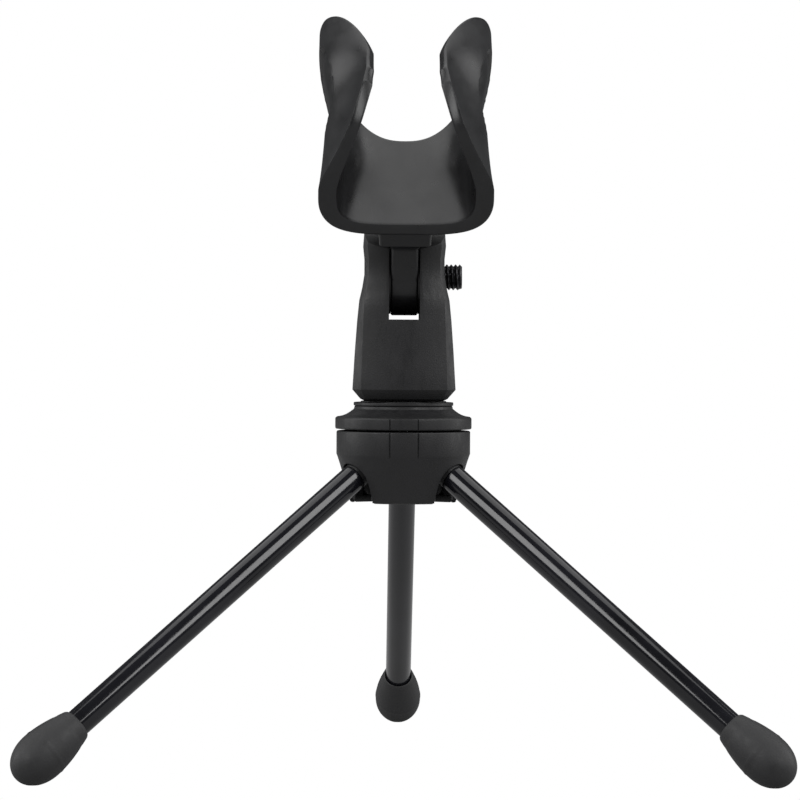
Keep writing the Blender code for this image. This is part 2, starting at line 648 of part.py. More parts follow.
def tongue_neck():
    """The neck between the tongue's round end and the clip's floor, spreading into a fillet."""
    half = TONGUE_WIDTH / 2
    levels = [(0, half, TONGUE_NECK), (13, half, TONGUE_NECK)]
    for i in range(1, 5):
        turn = math.pi / 8 * i
        spread = NECK_SPREAD * (1 - math.cos(turn))
        levels.append((13 + 2.4 * math.sin(turn), half + spread, TONGUE_NECK + spread / 2))
    levels.append((25, half + 1.3 * NECK_SPREAD, TONGUE_NECK + NECK_SPREAD))
    rings = []
    for height, x, y in levels:
        z = height * MM
        cut = 0.4 * MM
        corners = [(x, -y + cut), (x, y - cut), (x - cut, y)]
        corners += [(-x + cut, y), (-x, y - cut), (-x, -y + cut), (-x + cut, -y), (x - cut, -y)]
        rings.append([(a, b, z) for a, b in corners])
    return stacked("tongue_neck", rings)


def mic_clip(hub, look):
    tilt = empty("tilt_axis", (0, 0, TILT_HEIGHT), (CLIP_PITCH, 0, 0), hub)
    clip = place("mic_clip", clip_shell(), look, tilt)
    half = TONGUE_WIDTH / 2
    combine(clip, "UNION", tongue_neck(), tilt)
    combine(clip, "UNION", rod("tongue_end", TONGUE_RADIUS, -half, half, 48, "X"), tilt)
    bore = rod("tongue_bore", BOLT_RADIUS + FIT, -9 * MM, 9 * MM, 24, "X")
    combine(clip, "DIFFERENCE", bore, tilt)


def hub_offset(foot):
    """How far back the hub stands so that the whole stand is centred on the origin."""
    reach = []
    for azimuth in LEG_AZIMUTHS.values():
        turn = math.radians(azimuth)
        swing = Matrix.Rotation(turn, 3, "Z") @ Matrix.Rotation(LEG_SLOPE, 3, "Y")
        centre = HINGE_RADIUS * math.sin(turn)
        reach += [centre + (swing @ vertex.co).y for vertex in foot.vertices]
    return -(max(reach) + min(reach)) / 2


def main():
    clear_scene()
    looks = {
        "plastic": material("textured_plastic", (0.018, 0.018, 0.019), 0.55),
        "gloss": material("smooth_plastic", (0.016, 0.016, 0.017), 0.32),
        "tube": material("gloss_black_tube", (0.008, 0.008, 0.010), 0.12, 0.3),
        "rubber": material("black_rubber", (0.022, 0.022, 0.023), 0.75),
        "black_steel": material("black_steel", (0.03, 0.03, 0.032), 0.35, 0.9),
        "steel": material("plated_steel", (0.55, 0.55, 0.56), 0.3, 1.0),
        "brass": material("brass", (0.72, 0.52, 0.22), 0.3, 1.0),
    }
    height = hinge_height()
    meshes = leg_meshes(height)
    stand = empty("stand", (0, hub_offset(meshes["foot"]), 0))
    for name, azimuth in LEG_AZIMUTHS.items():
        leg(name, azimuth, stand, height, meshes, looks)
    hub = empty("hub_axis", (0, 0, height), parent=stand)
    hub_body(hub, looks["plastic"])
    base_plate(hub, looks["plastic"])
    base_screws(hub, looks["steel"])
    hub_cap(hub, looks["plastic"])
    stud_and_washer(hub, looks)
    swivel_body(hub, looks["plastic"])
    bolt_bush_and_nut(hub, looks)
    mic_clip(hub, looks["gloss"])


main()
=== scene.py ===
"""The looks of a folding tabletop microphone tripod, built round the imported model."""

import json
import math

import bmesh
import bpy
from mathutils import Euler, Matrix, Vector


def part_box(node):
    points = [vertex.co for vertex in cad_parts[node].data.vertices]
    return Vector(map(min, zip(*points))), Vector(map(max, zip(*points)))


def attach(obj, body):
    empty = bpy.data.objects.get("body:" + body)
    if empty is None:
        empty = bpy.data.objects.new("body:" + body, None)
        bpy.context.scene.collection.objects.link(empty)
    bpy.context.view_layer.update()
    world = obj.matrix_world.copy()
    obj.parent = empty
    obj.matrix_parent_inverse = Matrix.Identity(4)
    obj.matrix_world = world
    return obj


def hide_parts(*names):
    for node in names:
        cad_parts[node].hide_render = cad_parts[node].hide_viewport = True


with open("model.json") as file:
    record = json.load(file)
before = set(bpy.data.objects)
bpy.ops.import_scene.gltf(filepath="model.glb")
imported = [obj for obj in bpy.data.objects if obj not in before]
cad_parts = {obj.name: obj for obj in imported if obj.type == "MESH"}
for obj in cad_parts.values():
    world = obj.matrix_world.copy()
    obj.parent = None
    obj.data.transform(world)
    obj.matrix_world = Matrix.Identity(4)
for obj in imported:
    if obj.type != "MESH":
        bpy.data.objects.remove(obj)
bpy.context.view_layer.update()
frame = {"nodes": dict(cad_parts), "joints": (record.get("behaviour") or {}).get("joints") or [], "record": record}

MM = 0.001
LEGS = ("left", "right", "rear")

# Leg pieces, drawn along X from the hinge
LEG_SLOPE = math.radians(37.2)
TUBE_RADIUS = 3.1 * MM
TUBE_WALL = 0.55 * MM
TUBE_START = 4.2 * MM
LEG_LENGTH = 110.1 * MM
FOOT_LENGTH = 18.3 * MM
FOOT_RADIUS = 5.6 * MM
FOOT_RIM_RADIUS = 3.65 * MM
FOOT_BELLY = 10.6 * MM
FOOT_BORE_DEPTH = 11 * MM
FOOT_PARTING = 9.4 * MM
FOOT_GROOVE = 2.6 * MM
HINGE_CIRCLE = 9.5 * MM
PIN_RADIUS = 1.2 * MM
PIN_HALF_LENGTH = 4.9 * MM
KNUCKLE_RADIUS = 3.4 * MM
KNUCKLE_WIDTH = 6.2 * MM
FIT = 0.15 * MM

# Hub pieces: heights from the leg hinges' level
HUB_RADIUS = 15.3 * MM
HUB_BOTTOM_RADIUS = 12.1 * MM
HUB_BOTTOM = -8.5 * MM
HUB_TAPER_TOP = 2.6 * MM
HUB_TOP = 7.9 * MM
HUB_CORE = 3.0 * MM
PLATE_RADIUS = 10.9 * MM
PLATE_THICKNESS = 1.5 * MM
PLATE_SLOT = 7.4 * MM
TUNNEL_WIDTH = 7.0 * MM
TUNNEL_TOP = 4.0 * MM
TUNNEL_START = 5.2 * MM
TUNNEL_END = 13.4 * MM
ARCH_WIDTH = 10.4 * MM
SCREW_CIRCLE = 8.6 * MM
SCREW_RADIUS = 1.1 * MM
SCREW_HEAD = 2.0 * MM
CAP_BOTTOM = 8.3 * MM
CAP_SPIGOT = 12.8 * MM
CAP_RADIUS = 15.6 * MM
CAP_RIM_TOP = 10.8 * MM
CAP_SHOULDER = 12.9 * MM
CAP_TOP = 13.6 * MM
CAP_TOP_RADIUS = 11.2 * MM
PANEL_WIDTH = 6.4 * MM
STUD_RADIUS = 4.76 * MM
FLANGE_FLATS = 11.3 * MM
FLANGE_TOP = 12.2 * MM

# Head pieces: heights from the same level
HEAD_BOTTOM = 14.7 * MM
HEAD_TOP = 53.5 * MM
HEAD_DEPTH = 11.4 * MM
HEAD_DEPTH_DROP = 2 * MM
HEAD_FLAT = 9.9 * MM
HEAD_FLAT_DROP = 1.3 * MM
HEAD_CORNER = 2.6 * MM
HEAD_BOW = 1.4 * MM
BUSH_RADIUS = 7.3 * MM
BUSH_TOP = 28.5 * MM
TILT_HEIGHT = 43 * MM
SLOT_WIDTH = 7.0 * MM
SLOT_FLOOR = 33.3 * MM
BOSS_RADIUS = 8.4 * MM
BOSS_HEIGHT = 0.41 * MM
CHEEK_ARC = 11.6 * MM
BOLT_RADIUS = 3.0 * MM
BOLT_HEAD_RADIUS = 4.9 * MM
BOLT_HEAD_HEIGHT = 2.7 * MM
BOLT_SEAT = 6.2 * MM
BOLT_END = 13.2 * MM
BOLT_PITCH = 1.0 * MM
BOLT_KEY = 4 * MM
NUT_FLATS = 10 * MM
NUT_HEIGHT = 2.6 * MM

# Clip, drawn level: Y runs to the rear along the microphone, Z up from the tilt axis
CLIP_PITCH = math.radians(38)
TONGUE_WIDTH = 6.1 * MM
TONGUE_RADIUS = 8.75 * MM
TONGUE_NECK = 7.5 * MM
NECK_START = 12.8 * MM
NECK_BEND = 2.6 * MM
NECK_SPREAD = 2.8 * MM
CLIP_FLOOR = 25.4 * MM
CLIP_CENTRES = {"front": 34.5 * MM, "rear": 44 * MM}
CLIP_TOP = 54.5 * MM
CLIP_FRONT = -13.8 * MM
CLIP_REAR = 17.6 * MM
CLIP_EAR_REAR = 33.5 * MM
CLIP_LENGTH = 30 * MM
CLIP_WAIST = 4 * MM
CLIP_FLARE = 16 * MM
CLIP_HALF_WIDTHS = {"front": 15.3 * MM, "waist": 14.9 * MM, "rear": 17.2 * MM}
CLIP_WALL = 2.4 * MM
CLIP_CORNER_WALL = 4.2 * MM
EAR_ROUND = 19 * MM
EAR_CORNER = 4.5 * MM
HOLLOW_DEPTH = 1.1 * MM
THROAT = 7.3 * MM
THROAT_FRONT = 8.4 * MM
THROAT_REAR = 10.5 * MM
THROAT_PLACE = 10 * MM
THROAT_ROUND = 7 * MM
RIM_ROUND = 0.55 * MM
CLIP_ROWS = 96
CLIP_COLUMNS = 61
CLIP_RIM = 7  # points round each rim between the inner and the outer wall

# Camera and light
STAND_MIDDLE = (0, -0.02, 0.09)
FLOOR_GLOW = 0.16
CAMERA_DISTANCE = 0.905
CAMERA_HEIGHT = 0.101
CAMERA_TURN = math.radians(-0.6)
CAMERA_TILT = math.radians(1.13)
CAMERA_ROLL = math.radians(0.3)
CAMERA_LENS = 178
AIM_LEFT = 0.8 * MM


def centre_of(node):
    low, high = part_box(node)
    return (low + high) / 2


HINGE_LEVEL = centre_of("leg_pin_rear").z
HUB_AXIS = Vector((centre_of("hub_cap").x, centre_of("hub_cap").y, HINGE_LEVEL))
HINGES = {joint["name"]: joint for joint in frame["joints"]}
AT_ORIGIN = Matrix.Identity(4)
AT_HUB = Matrix.Translation(HUB_AXIS)
AT_TILT = Matrix.Translation(HUB_AXIS + Vector((0, 0, TILT_HEIGHT)))


# Mesh tools


def finished(name, work, sharp=35):
    bmesh.ops.remove_doubles(work, verts=work.verts, dist=1e-7)
    bmesh.ops.recalc_face_normals(work, faces=work.faces)
    mesh = bpy.data.meshes.new(name)
    work.to_mesh(mesh)
    work.free()
    mesh.shade_smooth()
    mesh.set_sharp_from_angle(angle=math.radians(sharp))
    return mesh


def turned(name, profile, segments, axis="Z"):
    """A closed outline of (radius, height) points turned about the axis."""
    work = bmesh.new()
    rings = []
    for radius, height in profile:
        if radius == 0:
            rings.append([work.verts.new((0, 0, height))])
            continue
        angles = [2 * math.pi * i / segments for i in range(segments)]
        points = [(radius * math.cos(a), radius * math.sin(a), height) for a in angles]
        rings.append([work.verts.new(point) for point in points])
    for first, second in zip(rings, rings[1:] + rings[:1]):
        if len(first) == 1 and len(second) == 1:
            continue
        for i in range(segments):
            j = (i + 1) % segments
            corners = [first[i % len(first)], first[j % len(first)]]
            corners += [second[j % len(second)], second[i % len(second)]]
            work.faces.new(list(dict.fromkeys(corners)))
    if axis == "X":
        bmesh.ops.rotate(work, verts=work.verts, matrix=Matrix.Rotation(math.pi / 2, 3, "Y"))
    if axis == "Y":
        bmesh.ops.rotate(work, verts=work.verts, matrix=Matrix.Rotation(math.pi / 2, 3, "X"))
    return finished(name, work)


def rod(name, radius, start, end, segments, axis="Z"):
    return turned(name, [(0, start), (radius, start), (radius, end), (0, end)], segments, axis)


def stacked(name, rings):
    """Rings with the same number of points, joined in order and closed by a flat end each."""
    work = bmesh.new()
    made = [[work.verts.new(point) for point in ring] for ring in rings]
    for first, second in zip(made, made[1:]):
        for i in range(len(first)):
            j = (i + 1) % len(first)
            work.faces.new((first[i], first[j], second[j], second[i]))
    work.faces.new(list(reversed(made[0])))
    work.faces.new(made[-1])
    return finished(name, work)


def block(name, low, high):
    def ring(z):
        return [(low[0], low[1], z), (high[0], low[1], z), (high[0], high[1], z), (low[0], high[1], z)]

    return stacked(name, [ring(low[2]), ring(high[2])])


def hexagon(name, flats, start, end, axis="Z"):
    return rod(name, flats / math.sqrt(3), start, end, 6, axis)


def rounded(profile, radius, steps=4):
    """The closed outline with each corner replaced by a small arc."""
    made = []
    count = len(profile)
    for i, (r, z) in enumerate(profile):
        here = Vector((r, z))
        before, after = Vector(profile[i - 1]), Vector(profile[(i + 1) % count])
        back, on = before - here, after - here
        if r == 0 or min(back.length, on.length) < 1e-9:
            made.append((r, z))
            continue
        turn = back.angle(on)
        reach = min(radius, back.length * 0.45, on.length * 0.45)
        if turn > math.radians(150):
            made.append((r, z))
            continue
        start, end = here + back.normalized() * reach, here + on.normalized() * reach
        for k in range(steps + 1):
            t = k / steps
            made.append(tuple(start * (1 - t) ** 2 + here * 2 * t * (1 - t) + end * t**2))
    return made


def assembled(name, base, steps=(), edge=0.0, segments=2, angle=35):
    """One object from a mesh and a list of (operation, mesh, matrix) Boolean steps, its edges softened."""
    made = bpy.data.objects.new(name, base)
    bpy.context.collection.objects.link(made)
    helpers = []
    for operation, mesh, matrix in steps:
        helper = bpy.data.objects.new("helper", mesh)
        bpy.context.collection.objects.link(helper)
        helper.matrix_world = matrix
        modifier = made.modifiers.new("shape", "BOOLEAN")
        modifier.operation, modifier.object = operation, helper
        helpers.append(helper)
    if edge:
        weld = made.modifiers.new("weld", "WELD")
        weld.merge_threshold = 0.00002
        bevel = made.modifiers.new("edge", "BEVEL")
        bevel.width, bevel.segments, bevel.limit_method = edge, segments, "ANGLE"
        bevel.angle_limit = math.radians(angle)
        bevel.use_clamp_overlap, bevel.harden_normals = True, False
    bpy.context.view_layer.update()
    shaped = bpy.data.meshes.new_from_object(made.evaluated_get(bpy.context.evaluated_depsgraph_get()))
    shaped.shade_smooth()
    shaped.set_sharp_from_angle(angle=math.radians(40))
    made.modifiers.clear()
    made.data = shaped
    for helper in helpers:
        bpy.data.objects.remove(helper)
    return made


def settle(piece, matrix, body, node, slot):
    """Puts a finished piece in its place: mesh in the stand's frame, riding on its body."""
    piece.data.transform(matrix)
    piece.data.materials.clear()
    piece.data.materials.append(LOOKS[slot])
    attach(piece, body)
    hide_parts(node)


def turn_z(angle):
    return Matrix.Rotation(angle, 4, "Z")


# Materials


class Nodes:
    """A material's node tree with short calls for what each look needs."""

    def __init__(self, name, colour, roughness, metallic=0.0, **sockets):
        self.material = bpy.data.materials.new(name)
        self.material.use_nodes = True
        self.tree = self.material.node_tree
        self.shader = self.tree.nodes["Principled BSDF"]
        self.shader.inputs["Base Color"].default_value = (*colour, 1)
        self.shader.inputs["Roughness"].default_value = roughness
        self.shader.inputs["Metallic"].default_value = metallic
        for socket, value in sockets.items():
            self.shader.inputs[socket.replace("_", " ")].default_value = value
        self.place = self.tree.nodes.new("ShaderNodeTexCoord").outputs["Object"]

    def noise(self, scale, detail=3.0, stretch=None, rough=0.55):
        where = self.place
        if stretch:
            mapping = self.tree.nodes.new("ShaderNodeMapping")
            mapping.inputs["Scale"].default_value = stretch
            self.tree.links.new(where, mapping.inputs["Vector"])
            where = mapping.outputs["Vector"]
        made = self.tree.nodes.new("ShaderNodeTexNoise")
        made.inputs["Scale"].default_value = scale
        made.inputs["Detail"].default_value = detail
        made.inputs["Roughness"].default_value = rough
        self.tree.links.new(where, made.inputs["Vector"])
        return made.outputs["Fac"]

    def cells(self, scale):
        made = self.tree.nodes.new("ShaderNodeTexVoronoi")
        made.inputs["Scale"].default_value = scale
        self.tree.links.new(self.place, made.inputs["Vector"])
        return made.outputs["Distance"]

    def spread(self, source, low, high):
        """The middle of a noise's range stretched to run from low to high."""
        made = self.tree.nodes.new("ShaderNodeMapRange")
        for name, value in zip(("From Min", "From Max", "To Min", "To Max"), (0.35, 0.65, low, high)):
            made.inputs[name].default_value = value
        self.tree.links.new(source, made.inputs["Value"])
        return made.outputs["Result"]

    def blend(self, share, first, second):
        made = self.tree.nodes.new("ShaderNodeMix")
        made.data_type = "RGBA"
        made.inputs["A"].default_value = (*first, 1)
        made.inputs["B"].default_value = (*second, 1)
        self.tree.links.new(share, made.inputs["Factor"])
        return made.outputs["Result"]

    def colour(self, source):
        self.tree.links.new(source, self.shader.inputs["Base Color"])

    def roughness(self, source):
        self.tree.links.new(source, self.shader.inputs["Roughness"])

    def bump(self, layers):
        """Height layers of (source, strength, distance), one on top of the other."""
        normal = None
        for source, strength, distance in layers:
            made = self.tree.nodes.new("ShaderNodeBump")
            made.inputs["Strength"].default_value = strength
            made.inputs["Distance"].default_value = distance
            self.tree.links.new(source, made.inputs["Height"])
            if normal:
                self.tree.links.new(normal, made.inputs["Normal"])
            normal = made.outputs["Normal"]
        self.tree.links.new(normal, self.shader.inputs["Normal"])


def textured_plastic():
    look = Nodes("textured_plastic", (0.016, 0.016, 0.0165), 0.5, 0.0, Specular_IOR_Level=0.4)
    grain = look.noise(2600, 2.0)
    clouds = look.noise(90, 4.0)
    scuffs = look.noise(420, 5.0, (1, 1, 0.35), 0.7)
    look.colour(look.blend(look.spread(clouds, 0, 1), (0.008, 0.008, 0.0085), (0.012, 0.012, 0.013)))
    look.roughness(look.spread(scuffs, 0.4, 0.58))
    look.bump([(clouds, 0.08, 0.0004), (grain, 0.55, 0.00006)])
    return look.material


def smooth_plastic():
    look = Nodes("smooth_plastic", (0.014, 0.014, 0.0145), 0.3, 0.0, Specular_IOR_Level=0.4)
    swell = look.noise(38, 2.0)
    grain = look.noise(2100, 2.0)
    haze = look.noise(160, 5.0, (1, 0.4, 1), 0.7)
    look.colour(look.blend(look.spread(haze, 0, 1), (0.008, 0.008, 0.0085), (0.013, 0.013, 0.014)))
    look.roughness(look.spread(haze, 0.27, 0.38))
    look.bump([(swell, 0.1, 0.0006), (grain, 0.18, 0.00003)])
    return look.material


def gloss_tube():
    look = Nodes("gloss_black_tube", (0.006, 0.006, 0.0075), 0.1)
    waves = look.noise(60, 2.0)
    specks = look.noise(900, 4.0, None, 0.7)
    look.colour(look.blend(look.spread(waves, 0, 1), (0.004, 0.004, 0.0055), (0.009, 0.009, 0.012)))
    look.roughness(look.spread(specks, 0.07, 0.16))
    look.bump([(waves, 0.05, 0.0002), (specks, 0.04, 0.00002)])
    return look.material


def black_rubber():
    look = Nodes("black_rubber", (0.02, 0.02, 0.021), 0.7)
    pores = look.cells(1500)
    grain = look.noise(1900, 3.0)
    dust = look.noise(230, 5.0, None, 0.65)
    look.colour(look.blend(look.spread(dust, 0, 1), (0.010, 0.010, 0.011), (0.018, 0.018, 0.019)))
    look.roughness(look.spread(dust, 0.5, 0.72))
    look.bump([(pores, 0.25, 0.00006), (grain, 0.35, 0.00005)])
    return look.material


def black_steel():
    look = Nodes("black_steel", (0.03, 0.03, 0.032), 0.35, 0.85)
    haze = look.noise(800, 4.0, None, 0.7)
    look.colour(look.blend(look.spread(haze, 0, 1), (0.02, 0.02, 0.022), (0.05, 0.05, 0.053)))
    look.roughness(look.spread(haze, 0.25, 0.42))
    look.bump([(haze, 0.15, 0.00003)])
    return look.material


def plated_steel():
    look = Nodes("plated_steel", (0.5, 0.5, 0.51), 0.3, 1.0)
    haze = look.noise(700, 4.0, None, 0.7)
    look.colour(look.blend(look.spread(haze, 0, 1), (0.42, 0.42, 0.43), (0.58, 0.58, 0.59)))
    look.roughness(look.spread(haze, 0.22, 0.4))
    look.bump([(haze, 0.12, 0.00003)])
    return look.material


def brass():
    look = Nodes("brass", (0.7, 0.5, 0.2), 0.3, 1.0)
    lines = look.noise(500, 3.0, (1, 1, 8))
    look.colour(look.blend(look.spread(lines, 0, 1), (0.6, 0.42, 0.16), (0.78, 0.58, 0.26)))
    look.roughness(look.spread(lines, 0.22, 0.4))
    look.bump([(lines, 0.15, 0.00003)])
    return look.material


LOOKS = {
    "textured_plastic": textured_plastic(),
    "smooth_plastic": smooth_plastic(),
    "gloss_black_tube": gloss_tube(),
    "black_rubber": black_rubber(),
    "black_steel": black_steel(),
    "plated_steel": plated_steel(),
    "brass": brass(),
}


def dress_cad():
    """Gives every CAD node the finish of its slot, for those that stay in sight."""
    for row in frame["record"]["subparts"]:
        node = frame["nodes"][row["node"]]
        node.data.materials.clear()
        node.data.materials.append(LOOKS[row["material_slot"]])
        node.data.shade_smooth()
        node.data.set_sharp_from_angle(angle=math.radians(30))


# Legs


def foot_radius(along):
    if along < FOOT_BELLY:
        share = math.sin(math.pi / 2 * along / FOOT_BELLY)
        return FOOT_RIM_RADIUS + (FOOT_RADIUS - FOOT_RIM_RADIUS) * share
    share = (along - FOOT_BELLY) / (FOOT_LENGTH - FOOT_BELLY)
    return FOOT_RADIUS * math.sqrt(max(0, 1 - share**2.1))


def foot_mesh():
    """The rubber foot with a rounded rim, a fine parting ring round its belly and a flat underneath."""
    start = LEG_LENGTH - FOOT_LENGTH
    bore = TUBE_RADIUS + FIT / 2
    lip = 0.35 * MM
    profile = [(0, start + FOOT_BORE_DEPTH), (bore, start + FOOT_BORE_DEPTH), (bore, start + lip)]
    for i in range(1, 6):
        turn = math.pi * i / 6
        middle, half = (bore + FOOT_RIM_RADIUS) / 2, (FOOT_RIM_RADIUS - bore) / 2
        profile.append((middle - half * math.cos(turn), start + lip - lip * math.sin(turn)))
    count = 56
    for i in range(count):
        along = lip + (FOOT_LENGTH - lip) * math.sin(math.pi / 2 * i / count)
        ridge = 0.09 * MM * math.exp(-(((along - FOOT_PARTING) / (0.28 * MM)) ** 2))
        groove = 0.10 * MM * math.exp(-(((along - FOOT_GROOVE) / (0.3 * MM)) ** 2))
        profile.append((foot_radius(along) + ridge - groove, start + along))
    profile.append((0, LEG_LENGTH))
    mesh = turned("foot", profile, 72, "X")
    work = bmesh.new()
    work.from_mesh(mesh)
    down = Vector((math.sin(LEG_SLOPE), 0, -math.cos(LEG_SLOPE)))
    shape = list(work.verts) + list(work.edges) + list(work.faces)
    cut = bmesh.ops.bisect_plane(
        work, geom=shape, dist=1e-8, plane_co=down * HINGE_LEVEL, plane_no=down, clear_outer=True
    )
    rim = [part for part in cut["geom_cut"] if isinstance(part, bmesh.types.BMEdge)]
    bmesh.ops.contextual_create(work, geom=rim)
    return finished("foot", work)


def tube_mesh():
    outer, inner = TUBE_RADIUS, TUBE_RADIUS - TUBE_WALL
    end = LEG_LENGTH - FOOT_LENGTH + FOOT_BORE_DEPTH - 2 * FIT
    profile = [(inner, TUBE_START), (inner, end), (outer, end), (outer, TUBE_START)]
    return turned("leg_tube", rounded(profile, 0.15 * MM), 72, "X")


def legs():
    half = KNUCKLE_WIDTH / 2
    eye = rounded([(0, -half), (KNUCKLE_RADIUS, -half), (KNUCKLE_RADIUS, half), (0, half)], 0.35 * MM)
    shoulder = rod("shoulder", half - 0.05 * MM, 0, TUBE_START - FIT, 56, "X")
    spigot = rod("spigot", TUBE_RADIUS - TUBE_WALL - FIT, 0, TUBE_START + 10 * MM, 40, "X")
    hole = rod("eye", PIN_RADIUS + FIT, -half - MM, half + MM, 32, "Y")
    for name in LEGS:
        joint = HINGES[f"leg_{name}_fold"]
        hinge, across = Vector(joint["pos_m"]), Vector(joint["axis"]).normalized()
        outward = across.cross(Vector((0, 0, 1)))
        along = outward * math.cos(LEG_SLOPE) - Vector((0, 0, 1)) * math.sin(LEG_SLOPE)
        up = along.cross(across)
        matrix = Matrix.Translation(hinge) @ Matrix((along, across, up)).transposed().to_4x4()
        body = f"leg_{name}"
        tube = assembled(f"tube_{name}", tube_mesh())
        settle(tube, matrix, body, f"leg_tube_{name}", "gloss_black_tube")
        foot = assembled(f"rubber_foot_{name}", foot_mesh())
        settle(foot, matrix, body, f"foot_{name}", "black_rubber")
        shapes = (("UNION", shoulder), ("UNION", spigot), ("DIFFERENCE", hole))
        steps = [(operation, shape, AT_ORIGIN) for operation, shape in shapes]
        knuckle = assembled(f"knuckle_{name}", turned("knuckle", eye, 56, "Y"), steps, 0.15 * MM)
        settle(knuckle, matrix, body, f"leg_knuckle_{name}", "textured_plastic")


# Hub


def azimuths():
    """Each leg's direction round the hub, from its hinge's place."""
    found = []
    for name in LEGS:
        away = Vector(HINGES[f"leg_{name}_fold"]["pos_m"]) - HUB_AXIS
        found.append(math.atan2(away.y, away.x))
    return found


def arch_outline(half, crown, foot, segments=40):
    centre = crown - half
    arc = [math.pi * i / segments for i in range(segments + 1)]
    points = [(half * math.cos(a), centre + half * math.sin(a)) for a in arc]
    return [(half, foot)] + points + [(-half, foot)]


def screw_places():
    turns = [turn + math.pi / 3 for turn in azimuths()]
    return [Matrix.Translation((SCREW_CIRCLE * math.cos(t), SCREW_CIRCLE * math.sin(t), 0)) for t in turns]


def panel_steps(radius, low, high):
    """The two fine upright seams that frame the narrow front panel."""
    width, depth = 0.3 * MM, 0.35 * MM
    steps = []
    for side in (-1, 1):
        x = side * PANEL_WIDTH / 2
        front = -math.sqrt(radius**2 - x**2)
        mesh = block("seam", (x - width / 2, front - MM, low), (x + width / 2, front + depth, high))
        steps.append(("DIFFERENCE", mesh, AT_ORIGIN))
    return steps


def hub_profile():
    """The housing's outline: a straight band that tapers in below, open for the plate."""
    count = 20
    wall = []
    for i in range(count + 1):
        share = i / count
        radius = HUB_RADIUS + (HUB_BOTTOM_RADIUS - HUB_RADIUS) * share**0.9
        wall.append((radius, HUB_TAPER_TOP + (HUB_BOTTOM + 0.2 * MM - HUB_TAPER_TOP) * share))
    floor = HUB_BOTTOM + PLATE_THICKNESS + 2 * FIT
    recess = PLATE_RADIUS + 2 * FIT
    edge = 0.4 * MM
    shoulder = []
    for i in range(6):
        turn = math.pi / 2 * i / 5
        shoulder.append((HUB_RADIUS - edge + edge * math.sin(turn), HUB_TOP - edge + edge * math.cos(turn)))
    profile = [(HUB_CORE, floor), (HUB_CORE, HUB_TOP)] + shoulder + wall
    profile += [(HUB_BOTTOM_RADIUS - edge, HUB_BOTTOM), (recess, HUB_BOTTOM), (recess, floor)]
    return profile


def hub_body():
    half = TUNNEL_WIDTH / 2
    tunnel = block("tunnel", (TUNNEL_START, -half, -30 * MM), (TUNNEL_END, half, TUNNEL_TOP))
    outline = arch_outline(ARCH_WIDTH / 2, TUBE_RADIUS + 0.4 * MM, -26 * MM)
    arch = stacked("arch", [[(x, y, z) for y, z in outline] for x in (2.3 * MM, 20 * MM)])
    grip = PIN_RADIUS + FIT
    low = (HINGE_CIRCLE - grip, -PIN_HALF_LENGTH - FIT, HUB_BOTTOM + PLATE_THICKNESS)
    groove = block("groove", low, (HINGE_CIRCLE + grip, PIN_HALF_LENGTH + FIT, grip))
    steps = []
    for turn in azimuths():
        lean = Matrix.Translation((HINGE_CIRCLE, 0, 0)) @ Matrix.Rotation(LEG_SLOPE, 4, "Y")
        steps.append(("DIFFERENCE", tunnel, turn_z(turn)))
        steps.append(("DIFFERENCE", arch, turn_z(turn) @ lean))
        steps.append(("DIFFERENCE", groove, turn_z(turn)))
    steps += panel_steps(HUB_RADIUS, HUB_TAPER_TOP - 1.5 * MM, HUB_TOP + MM)
    base = turned("hub_body", hub_profile(), 180)
    made = assembled("hub_housing", base, steps, 0.22 * MM, 3)
    settle(made, AT_HUB, "hub", "hub_body", "textured_plastic")


def hub_cap():
    count = 16
    slope = []
    for i in range(count + 1):
        share = i / count
        radius = CAP_RADIUS - 0.4 * MM + (CAP_TOP_RADIUS - CAP_RADIUS + 0.5 * MM) * share
        sag = 0.4 * MM * math.sin(math.pi * share)
        height = CAP_RIM_TOP + 0.3 * MM + (CAP_SHOULDER - CAP_RIM_TOP - 0.3 * MM) * share - sag
        slope.append((radius, height))
    hole = STUD_RADIUS + FIT
    profile = [(hole, CAP_BOTTOM - 0.25 * MM), (CAP_SPIGOT, CAP_BOTTOM - 0.25 * MM)]
    profile += [(CAP_SPIGOT, CAP_BOTTOM), (CAP_RADIUS, CAP_BOTTOM), (CAP_RADIUS, CAP_RIM_TOP)]
    profile += slope + [(CAP_TOP_RADIUS, CAP_TOP), (hole, CAP_TOP)]
    base = turned("hub_cap", rounded(profile, 0.35 * MM), 180)
    pocket = hexagon("pocket", FLANGE_FLATS, HUB_TOP - MM, FLANGE_TOP)
    steps = [("DIFFERENCE", pocket, AT_ORIGIN)]
    steps += panel_steps(CAP_RADIUS, CAP_BOTTOM - MM, CAP_RIM_TOP)
    made = assembled("hub_collar", base, steps)
    settle(made, AT_HUB, "hub", "hub_cap", "textured_plastic")


def seat_washer():
    low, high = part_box("seat_washer")
    outer = (high.x - low.x) / 2
    bottom, step, top = CAP_TOP + 0.02 * MM, high.z - HINGE_LEVEL, HEAD_BOTTOM - 0.02 * MM
    hole, collar = STUD_RADIUS + 2 * FIT, outer - 1.6 * MM
    profile = [(hole, bottom), (outer, bottom), (outer, step), (collar, step), (collar, top), (hole, top)]
    profile = rounded(profile, 0.2 * MM)
    made = assembled("seat_ring", turned("seat_washer", profile, 128))
    settle(made, AT_HUB, "hub", "seat_washer", "textured_plastic")


